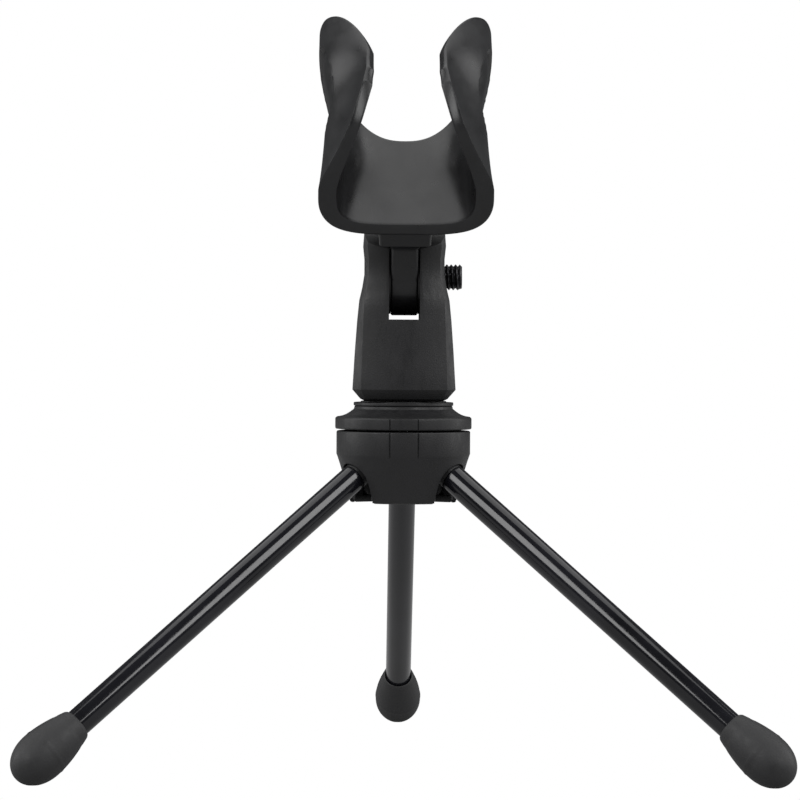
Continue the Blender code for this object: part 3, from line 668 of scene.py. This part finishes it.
def base_plate():
    """The plate under the hub, slotted for the legs, with posts that hold the pins up."""
    bottom = HUB_BOTTOM + 0.1 * MM
    top = bottom + PLATE_THICKNESS
    half = PLATE_SLOT / 2
    slot = block("slot", (4.8 * MM, -half, bottom - MM), (20 * MM, half, top + MM))
    thick = PIN_RADIUS - 0.1 * MM
    near, far = (HINGE_CIRCLE - thick, half + 0.1 * MM), (HINGE_CIRCLE + thick, PIN_HALF_LENGTH)
    levels = (bottom + 0.5 * MM, -PIN_RADIUS - 2 * FIT)
    posts = [block("post", (near[0], near[1], levels[0]), (far[0], far[1], levels[1]))]
    posts.append(block("post", (near[0], -far[1], levels[0]), (far[0], -near[1], levels[1])))
    head, shaft = SCREW_HEAD + FIT, SCREW_RADIUS + FIT
    sink = [(0, bottom - MM), (head, bottom - MM), (head, bottom + FIT)]
    sink += [(shaft, bottom + head - shaft + FIT), (shaft, top + MM), (0, top + MM)]
    countersink = turned("countersink", sink, 40)
    steps = []
    for turn in azimuths():
        steps.append(("DIFFERENCE", slot, turn_z(turn)))
        steps += [("UNION", post, turn_z(turn)) for post in posts]
    steps += [("DIFFERENCE", countersink, place) for place in screw_places()]
    made = assembled("base_cover", rod("base_plate", PLATE_RADIUS, bottom, top, 120), steps, 0.15 * MM)
    settle(made, AT_HUB, "hub", "base_plate", "textured_plastic")


def base_screws():
    bottom = HUB_BOTTOM + 0.2 * MM
    neck = bottom + SCREW_HEAD - SCREW_RADIUS
    profile = [(0, bottom), (SCREW_HEAD, bottom), (SCREW_RADIUS, neck)]
    profile += [(SCREW_RADIUS, 10 * MM), (0, 11 * MM)]
    arm, width, depth = 1.2 * MM, 0.5 * MM, 0.6 * MM
    steps = []
    for long, short in ((arm, width / 2), (width / 2, arm)):
        low = (-long, -short, bottom - MM)
        cross = block("cross", low, (long, short, bottom + depth))
        steps.append(("DIFFERENCE", cross, AT_ORIGIN))
    for number, place in enumerate(screw_places(), 1):
        made = assembled(f"cover_screw_{number}", turned("screw", profile, 40), steps, 0.06 * MM)
        node = f"base_screw_{number}"
        settle(made, AT_HUB @ place, "hub", node, "plated_steel")


# Head


def head_width(height):
    """Half the head's width at a height, through the stations in millimetres."""
    stations = [(14.7, 8.7), (15.3, 9.9), (17.4, 11.7), (26, 11.2), (33, 10.7), (37.6, 10.25)]
    stations += [(40.4, 9.6), (43.5, 9.1), (47, 9.1), (50, 9.4), (53.5, 9.15)]
    above = height / MM
    for (low, first), (high, second) in zip(stations, stations[1:]):
        if above <= high:
            return (first + (second - first) * (above - low) / (high - low)) * MM
    return stations[-1][1] * MM


def head_ring(height):
    """A level cut of the swivel head: cut corners, and front and rear faces that bow out."""
    across = head_width(height)
    lift = (height - HEAD_BOTTOM) / (HEAD_TOP - HEAD_BOTTOM)
    deep = min(across, HEAD_DEPTH - HEAD_DEPTH_DROP * lift)
    flat = min(across - MM, HEAD_FLAT - HEAD_FLAT_DROP * lift)
    if height < HEAD_BOTTOM + 0.1 * MM:
        flat = min(flat, 0.62 * across)
    side = deep - HEAD_CORNER
    quarter = [(across, -side), (across, side)]
    for i in range(13):
        share = 1 - i / 6
        bow = HEAD_BOW * (1 - share**2) - HEAD_BOW / 2
        quarter.append((flat * share, deep + bow))
    return [(x, y, height) for x, y in quarter] + [(-x, -y, height) for x, y in quarter]


def swivel_body():
    """The head with its slot, round cheeks and bosses, and bores for bush, bolt, bolt head and nut."""
    heights = [14.7, 15.3, 17.4, 21, 26, 30, 33, 35.3, 37.6, 39, 40.4, 42, 43.5, 45.2, 47, 50, 53.5]
    base = stacked("swivel_body", [head_ring(h * MM) for h in heights])
    at = Matrix.Translation((0, 0, TILT_HEIGHT))
    half, far, count = SLOT_WIDTH / 2, 30 * MM, 48
    arc = [math.pi * i / count for i in range(count + 1)]
    outline = [(CHEEK_ARC * math.cos(a), CHEEK_ARC * math.sin(a)) for a in arc]
    wide, tall = 20 * MM, 20 * MM
    outline += [(-wide, 0), (-wide, tall), (wide, tall), (wide, 0)]
    cheek = stacked("cheek", [[(x, y, z) for y, z in outline] for x in (-wide, wide)])
    slight = Matrix.Rotation(math.radians(4), 4, "X")
    steps = [
        ("DIFFERENCE", block("slot", (-half, -far, SLOT_FLOOR), (half, far, HEAD_TOP + MM)), AT_ORIGIN),
        ("DIFFERENCE", cheek, at),
        ("UNION", rod("boss", BOSS_RADIUS, half - BOSS_HEIGHT, half + MM, 96, "X"), at),
        ("UNION", rod("boss", BOSS_RADIUS, -half - MM, BOSS_HEIGHT - half, 96, "X"), at),
        ("DIFFERENCE", rod("bush", BUSH_RADIUS + FIT, HEAD_BOTTOM - MM, BUSH_TOP + 2 * FIT, 80), AT_ORIGIN),
        ("DIFFERENCE", rod("bolt", BOLT_RADIUS + FIT, -far, far, 48, "X"), at @ slight),
        ("DIFFERENCE", rod("sink", BOLT_HEAD_RADIUS + 2 * FIT, -far, -BOLT_SEAT, 64, "X"), at),
        ("DIFFERENCE", hexagon("nut", NUT_FLATS + 4 * FIT, BOLT_SEAT, far, "X"), at),
    ]
    made = assembled("swivel_head", base, steps, 0.3 * MM, 3, 20)
    settle(made, AT_HUB, "head", "swivel_body", "textured_plastic")


def thread(name, radius, start, end, pitch, depth, segments=48):
    """A shaft along X whose end stretch carries a helical V thread."""
    work = bmesh.new()
    per_turn, rings = 10, []
    count = int((end - start) / pitch * per_turn)
    for i in range(count + 1):
        x = start + (end - start) * i / count
        fade = min(1, (x - start) / pitch, (end - x) / (0.8 * pitch))
        ring = []
        for k in range(segments):
            turn = 2 * math.pi * k / segments
            phase = ((x / pitch) - k / segments) % 1
            cut = depth * abs(2 * phase - 1) * max(0, fade)
            bevel = 0.5 * MM * max(0, 1 - (end - x) / (0.5 * MM))
            r = radius - cut - bevel
            ring.append(work.verts.new((x, r * math.cos(turn), r * math.sin(turn))))
        rings.append(ring)
    for first, second in zip(rings, rings[1:]):
        for k in range(segments):
            j = (k + 1) % segments
            work.faces.new((first[k], first[j], second[j], second[k]))
    work.faces.new(list(reversed(rings[0])))
    work.faces.new(rings[-1])
    return finished(name, work, 60)


def pivot_bolt():
    head_out = BOLT_SEAT + BOLT_HEAD_HEIGHT
    head = [(0, -head_out), (BOLT_HEAD_RADIUS, -head_out), (BOLT_HEAD_RADIUS, -BOLT_SEAT - FIT)]
    head += [(BOLT_RADIUS, -BOLT_SEAT - FIT), (BOLT_RADIUS, 5.5 * MM), (0, 5.5 * MM)]
    base = turned("pivot_bolt", rounded(head, 0.5 * MM), 64, "X")
    screw = thread("bolt_thread", BOLT_RADIUS, 5 * MM, BOLT_END, BOLT_PITCH, 0.55 * MM)
    key = hexagon("key", BOLT_KEY, -head_out - MM, -head_out + 1.5 * MM, "X")
    steps = [("UNION", screw, AT_ORIGIN), ("DIFFERENCE", key, AT_ORIGIN)]
    made = assembled("tilt_bolt", base, steps)
    settle(made, AT_TILT, "head", "pivot_bolt", "black_steel")


def pivot_nut():
    low = BOLT_SEAT + FIT
    high = low + NUT_HEIGHT
    corner = NUT_FLATS / math.sqrt(3)
    cone = [(0, low - MM), (corner + MM, low - MM), (corner + MM, high - 0.9 * MM)]
    cone += [(corner - 0.7 * MM, high + 0.1 * MM), (0, high + 0.1 * MM)]
    steps = [
        ("INTERSECT", turned("cone", cone, 64, "X"), AT_ORIGIN),
        ("DIFFERENCE", rod("bore", BOLT_RADIUS + FIT, 0, 20 * MM, 48, "X"), AT_ORIGIN),
    ]
    made = assembled("tilt_nut", hexagon("pivot_nut", NUT_FLATS, low, high, "X"), steps, 0.1 * MM)
    settle(made, AT_TILT, "head", "pivot_nut", "black_steel")


# Clip


def eased(share):
    share = min(1, max(0, share))
    return share * share * (3 - 2 * share)


def clip_half_width(along):
    """The inner half width: narrow at the waist, wider at the front rim and flared behind."""
    waist = CLIP_HALF_WIDTHS["waist"]
    if along < CLIP_WAIST:
        share = (CLIP_WAIST - along) / (CLIP_WAIST - CLIP_FRONT)
        return waist + (CLIP_HALF_WIDTHS["front"] - waist) * share**1.5
    return waist + (CLIP_HALF_WIDTHS["rear"] - waist) * eased((along - CLIP_WAIST) / CLIP_FLARE)


def throat_half_width(along):
    """Half the gap between the arms' free edges, narrowest a little behind the middle."""
    if along < THROAT_PLACE:
        share = (THROAT_PLACE - along) / (THROAT_PLACE - CLIP_FRONT)
        return THROAT + (THROAT_FRONT - THROAT) * share**2
    share = (along - THROAT_PLACE) / (CLIP_EAR_REAR - THROAT_PLACE)
    return THROAT + (THROAT_REAR - THROAT) * min(1, share) ** 3


def clip_inner(up, along):
    """A point of the clip's inner wall. up runs from 0 at the floor's middle to 1 at an arm's free
    edge, or to -1 at the other arm's, and along from 0 at the front rim to 1 at the rear rim."""
    share = min(abs(up), 1)
    sweep = 1 - math.exp(-((share / 0.31) ** 2))
    rear = CLIP_REAR + (CLIP_EAR_REAR - CLIP_REAR) * sweep - EAR_ROUND * share**6.5
    rear -= EAR_CORNER * max(0, (share - 0.8) / 0.2) ** 2
    front = CLIP_FRONT + THROAT_ROUND * share**7 + EAR_CORNER * max(0, (share - 0.85) / 0.15) ** 2
    y = front + (rear - front) * along
    half, throat = clip_half_width(y), throat_half_width(y)
    back = eased((y - CLIP_FRONT) / CLIP_LENGTH)
    centre = CLIP_CENTRES["front"] + (CLIP_CENTRES["rear"] - CLIP_CENTRES["front"]) * back
    if share < 0.5:
        angle = math.pi * share
        square = 0.5 + 0.3 * back
        x = half * math.sin(angle) ** square
        z = centre - (centre - CLIP_FLOOR) * math.cos(angle) ** square
    else:
        lean = 2 * share - 1
        x = half - (half - throat) * lean ** (1.25 + 0.65 * back)
        z = centre + (CLIP_TOP - centre) * lean
    return Vector((math.copysign(x, up), y, z))


def clip_wall(up, along):
    """The wall: thickest round the front rim's sides, thinnest at the ears."""
    share = abs(up)
    side = math.exp(-(((share - 0.45) / 0.25) ** 2)) * (1 - along) ** 2
    floor = 0.4 * MM * math.exp(-((share / 0.2) ** 2))
    ear = 0.5 * MM * along * max(0, share - 0.7) / 0.3
    return CLIP_WALL + (CLIP_CORNER_WALL - CLIP_WALL) * side + floor - ear


def clip_frame(up, along):
    """A point of the inner wall, with the directions out of the wall, to the rear and up the wall."""
    step = 0.004
    climb = clip_inner(min(up + step, 1), along) - clip_inner(max(up - step, -1), along)
    run = clip_inner(up, min(along + step, 1)) - clip_inner(up, max(along - step, 0))
    climb.normalize()
    run.normalize()
    return clip_inner(up, along), climb.cross(run).normalized() * -1, run, climb


def ear_hollow(up, along):
    """Depth of the finger hollow that is sunk into the outer face of each ear."""
    reach = math.hypot((abs(up) - 0.48) / 0.21, (along - 0.59) / 0.27)
    return HOLLOW_DEPTH * eased((1 - reach) / 0.09)


def clip_ring(up, inset=0.0, lift=0.0):
    """One closed ring round the wall, with half round rims at the front and the rear."""
    inner, outer = [], []
    for i in range(CLIP_COLUMNS):
        point, out, run, climb = clip_frame(up, i / (CLIP_COLUMNS - 1))
        wall = clip_wall(up, i / (CLIP_COLUMNS - 1))
        shift = climb * math.copysign(lift, up)
        inner.append(point + out * wall * inset + shift)
        depth = wall * (1 - inset) - ear_hollow(up, i / (CLIP_COLUMNS - 1))
        outer.append(point + out * depth + shift)
    ends = []
    for along, sense in ((1, 1), (0, -1)):
        point, out, run, climb = clip_frame(up, along)
        wall = clip_wall(up, along)
        shift = climb * math.copysign(lift, up)
        for k in range(1, CLIP_RIM + 1):
            turn = math.pi * k / (CLIP_RIM + 1)
            corner = min(RIM_ROUND, wall * (1 - 2 * inset) / 2) / (wall / 2)
            flat = math.copysign(abs(math.cos(turn)) ** (0.5 + 0.5 * corner), math.cos(turn))
            depth = wall * (0.5 - (0.5 - inset) * flat)
            bulge = RIM_ROUND * math.sin(turn) ** (0.5 + 0.2 * corner)
            ends.append(point + out * depth + run * sense * bulge + shift)
    return inner + ends[:CLIP_RIM] + list(reversed(outer)) + list(reversed(ends[CLIP_RIM:]))


def clip_shell():
    """Rings from one arm's free edge over the floor to the other's, with rounded free edges."""
    ups = [i / CLIP_ROWS for i in range(-CLIP_ROWS, CLIP_ROWS + 1)]
    rings = [clip_ring(up) for up in ups]
    for k in (1, 2, 3):
        turn = math.pi / 2 * k / 3
        inset, lift = 0.36 * (1 - math.cos(turn)), RIM_ROUND * 1.4 * math.sin(turn)
        rings = [clip_ring(-1, inset, lift)] + rings + [clip_ring(1, inset, lift)]
    work = bmesh.new()
    made = [[work.verts.new(point) for point in ring] for ring in rings]
    count = len(made[0])
    for first, second in zip(made, made[1:]):
        for i in range(count):
            j = (i + 1) % count
            work.faces.new((first[i], first[j], second[j], second[i]))
    for ring in (made[0], made[-1]):
        inner = ring[:CLIP_COLUMNS]
        outer = list(reversed(ring[CLIP_COLUMNS + CLIP_RIM : -CLIP_RIM]))
        for i in range(CLIP_COLUMNS - 1):
            work.faces.new((inner[i], inner[i + 1], outer[i + 1], outer[i]))
        work.faces.new([inner[-1]] + ring[CLIP_COLUMNS : CLIP_COLUMNS + CLIP_RIM] + [outer[-1]])
        work.faces.new([outer[0]] + ring[-CLIP_RIM:] + [inner[0]])
    return finished("mic_clip", work, 50)


def tongue_neck():
    """The tongue's upright part, which spreads in a curve where it meets the clip's underside."""
    half = TONGUE_WIDTH / 2
    levels = [(0, half, TONGUE_NECK), (NECK_START, half, TONGUE_NECK)]
    for i in range(1, 9):
        turn = math.pi / 16 * i
        spread = NECK_SPREAD * (1 - math.cos(turn))
        z = NECK_START + NECK_BEND * math.sin(turn)
        levels.append((z, half + spread, TONGUE_NECK + spread / 2))
    for i in range(1, 7):
        spread = NECK_SPREAD * (1 + 0.8 * (i / 6) ** 2)
        z = NECK_START + NECK_BEND + 1.6 * MM * i
        levels.append((z, half + spread, TONGUE_NECK + spread / 2))
    rings, cut = [], 0.9 * MM
    for z, x, y in levels:
        ring = []
        for quarter, (sx, sy) in enumerate(((1, 1), (-1, 1), (-1, -1), (1, -1))):
            for k in range(5):
                turn = math.pi / 2 * (quarter + k / 4)
                right, back = cut * math.cos(turn), cut * math.sin(turn)
                ring.append((sx * (x - cut) + right, sy * (y - cut) + back, z))
        rings.append(ring)
    return stacked("tongue_neck", rings)


def mic_clip():
    half = TONGUE_WIDTH / 2
    end = rounded([(0, -half), (TONGUE_RADIUS, -half), (TONGUE_RADIUS, half), (0, half)], 0.5 * MM)
    steps = [
        ("UNION", tongue_neck(), AT_ORIGIN),
        ("UNION", turned("tongue_end", end, 96, "X"), AT_ORIGIN),
        ("DIFFERENCE", rod("bore", BOLT_RADIUS + FIT, -9 * MM, 9 * MM, 48, "X"), AT_ORIGIN),
    ]
    made = assembled("clip_moulding", clip_shell(), steps)
    lean = Matrix.Rotation(CLIP_PITCH, 4, "X")
    settle(made, AT_TILT @ lean, "clip", "mic_clip", "smooth_plastic")


# Studio


def softbox(name, place, wide, tall, energy):
    """A rectangular light that faces the middle of the stand."""
    data = bpy.data.lights.new(name, "AREA")
    data.shape, data.size, data.size_y, data.energy = "RECTANGLE", wide, tall, energy
    made = bpy.data.objects.new(name, data)
    bpy.context.collection.objects.link(made)
    made.location = place
    made.rotation_euler = (Vector(STAND_MIDDLE) - Vector(place)).to_track_quat("-Z", "Y").to_euler()


def studio():
    world = bpy.data.worlds.new("studio")
    bpy.context.scene.world = world
    world.use_nodes = True
    nodes, links = world.node_tree.nodes, world.node_tree.links
    back = nodes["Background"]
    back.inputs["Color"].default_value = (1, 1, 1, 1)
    back.inputs["Strength"].default_value = 1.0
    dim = nodes.new("ShaderNodeBackground")
    dim.inputs["Color"].default_value = (0.5, 0.51, 0.52, 1)
    dim.inputs["Strength"].default_value = 0.2
    path, mix = nodes.new("ShaderNodeLightPath"), nodes.new("ShaderNodeMixShader")
    links.new(path.outputs["Is Camera Ray"], mix.inputs["Fac"])
    links.new(dim.outputs["Background"], mix.inputs[1])
    links.new(back.outputs["Background"], mix.inputs[2])
    links.new(mix.outputs["Shader"], nodes["World Output"].inputs["Surface"])
    softbox("top_softbox", (0, 0.2, 1.1), 1.3, 1.0, 6)
    for side, name in ((-1, "left"), (1, "right")):
        softbox(name + "_front_softbox", (side * 1.45, -1.75, 1.5), 1.2, 1.7, 34)
        softbox(name + "_side_softbox", (side * 1.0, 0.1, 0.45), 0.7, 1.1, 6)


def pale_floor():
    """A floor that lights the stand from below. The camera looks through it to the white world, so
    that feet folded below its level stay in sight."""
    work = bmesh.new()
    bmesh.ops.create_grid(work, x_segments=1, y_segments=1, size=6)
    mesh = bpy.data.meshes.new("floor")
    work.to_mesh(mesh)
    work.free()
    floor = bpy.data.objects.new("floor", mesh)
    bpy.context.collection.objects.link(floor)
    floor.visible_camera = False
    look = Nodes("pale_floor", (0.25, 0.25, 0.25), 0.8, 0.0, Emission_Strength=FLOOR_GLOW)
    look.shader.inputs["Emission Color"].default_value = (1, 1, 1, 1)
    look.shader.inputs["Specular IOR Level"].default_value = 0
    mesh.materials.append(look.material)


def camera():
    data = bpy.data.cameras.new("camera")
    data.lens, data.sensor_width = CAMERA_LENS, 36
    made = bpy.data.objects.new("camera", data)
    bpy.context.collection.objects.link(made)
    side, ahead = math.sin(CAMERA_TURN), math.cos(CAMERA_TURN)
    made.location = (
        HUB_AXIS.x - AIM_LEFT + CAMERA_DISTANCE * side,
        HUB_AXIS.y - CAMERA_DISTANCE * ahead,
        CAMERA_HEIGHT,
    )
    aim = Euler((math.pi / 2 - CAMERA_TILT, 0, CAMERA_TURN)).to_matrix()
    made.rotation_euler = (aim @ Matrix.Rotation(CAMERA_ROLL, 3, "Z")).to_euler()
    bpy.context.scene.camera = made
    bpy.context.scene.view_settings.view_transform = "Standard"


dress_cad()
camera()
studio()
pale_floor()
legs()
hub_body()
hub_cap()
seat_washer()
base_plate()
base_screws()
swivel_body()
pivot_bolt()
pivot_nut()
mic_clip()

bpy.context.view_layer.update()
